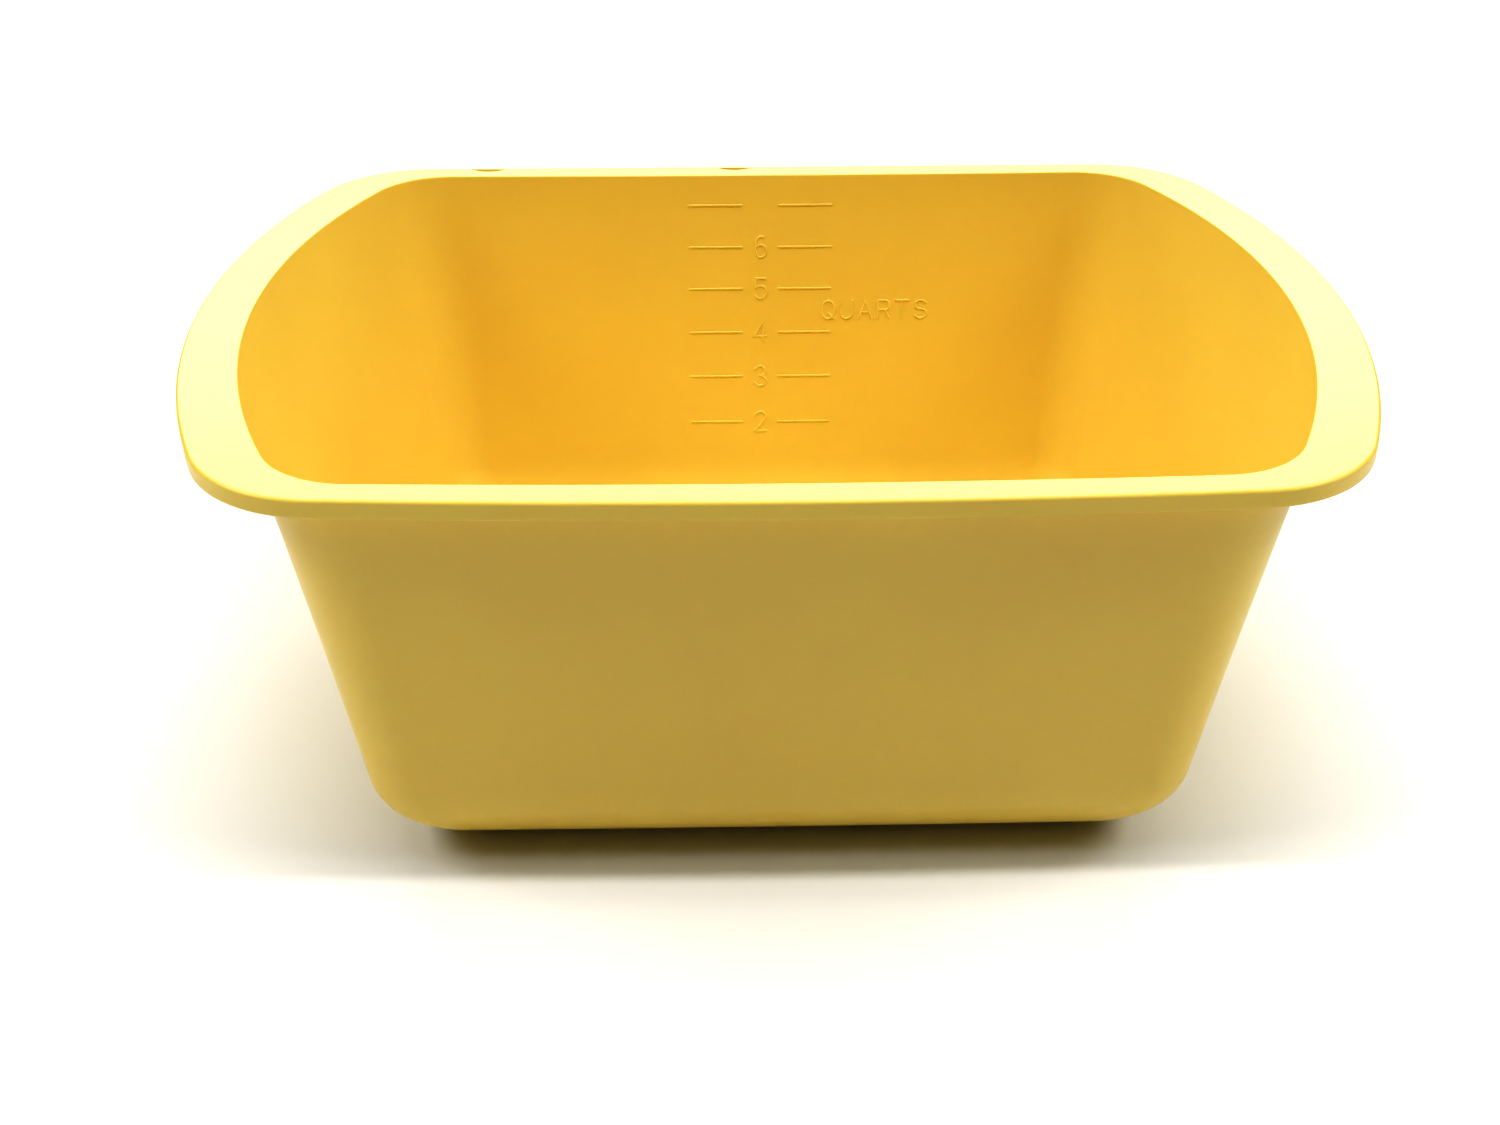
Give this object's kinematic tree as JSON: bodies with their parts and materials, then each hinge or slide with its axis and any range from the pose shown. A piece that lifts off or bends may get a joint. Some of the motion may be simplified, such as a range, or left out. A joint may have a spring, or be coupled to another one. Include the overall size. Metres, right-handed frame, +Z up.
{
  "type": "graduated rectangular basin",
  "caption": "Deep rectangular moulded plastic basin with bowed ends, drafted walls, a flanged rim with turned-down skirt, and a raised volume scale inside the back wall.",
  "frame": {"origin": "middle of the underside, on the surface the basin stands on", "axes": "+X along the length, +Y towards the long wall that carries the scale, +Z up out of the opening"},
  "size_m": [0.342, 0.247, 0.1364],
  "materials": {
    "basin_plastic": "satin, fine mould texture"
  },
  "bodies": {
    "root": {"basin": "basin_plastic"}
  },
  "joints": []
}
